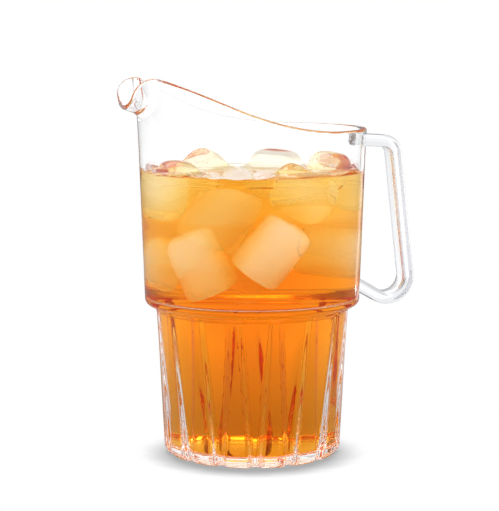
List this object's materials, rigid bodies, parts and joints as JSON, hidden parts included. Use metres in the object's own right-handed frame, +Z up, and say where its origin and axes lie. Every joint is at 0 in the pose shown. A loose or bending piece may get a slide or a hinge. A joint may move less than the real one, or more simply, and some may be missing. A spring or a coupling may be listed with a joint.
{
  "type": "pitcher",
  "caption": "Clear plastic pitcher with a fluted foot below a stepped wall, a pouring spout and an open bar handle, holding an amber drink with ice.",
  "frame": {"origin": "centre of the underside, on the table", "axes": "+Z up along the body's axis, the spout along -X and the handle along +X"},
  "size_m": [0.1735, 0.1302, 0.2155],
  "materials": {
    "clear_plastic": "clear, polished",
    "drink": "clear amber liquid",
    "ice": "slightly cloudy, wet"
  },
  "bodies": {
    "root": {"pitcher_body": "clear_plastic", "handle": "clear_plastic", "drink": "drink", "ice_cube_01": "ice", "ice_cube_02": "ice", "ice_cube_03": "ice", "ice_cube_04": "ice", "ice_cube_05": "ice", "ice_cube_06": "ice", "ice_cube_07": "ice", "ice_cube_08": "ice", "ice_cube_09": "ice", "ice_cube_10": "ice", "ice_cube_11": "ice", "ice_cube_12": "ice", "ice_cube_13": "ice"}
  },
  "joints": []
}
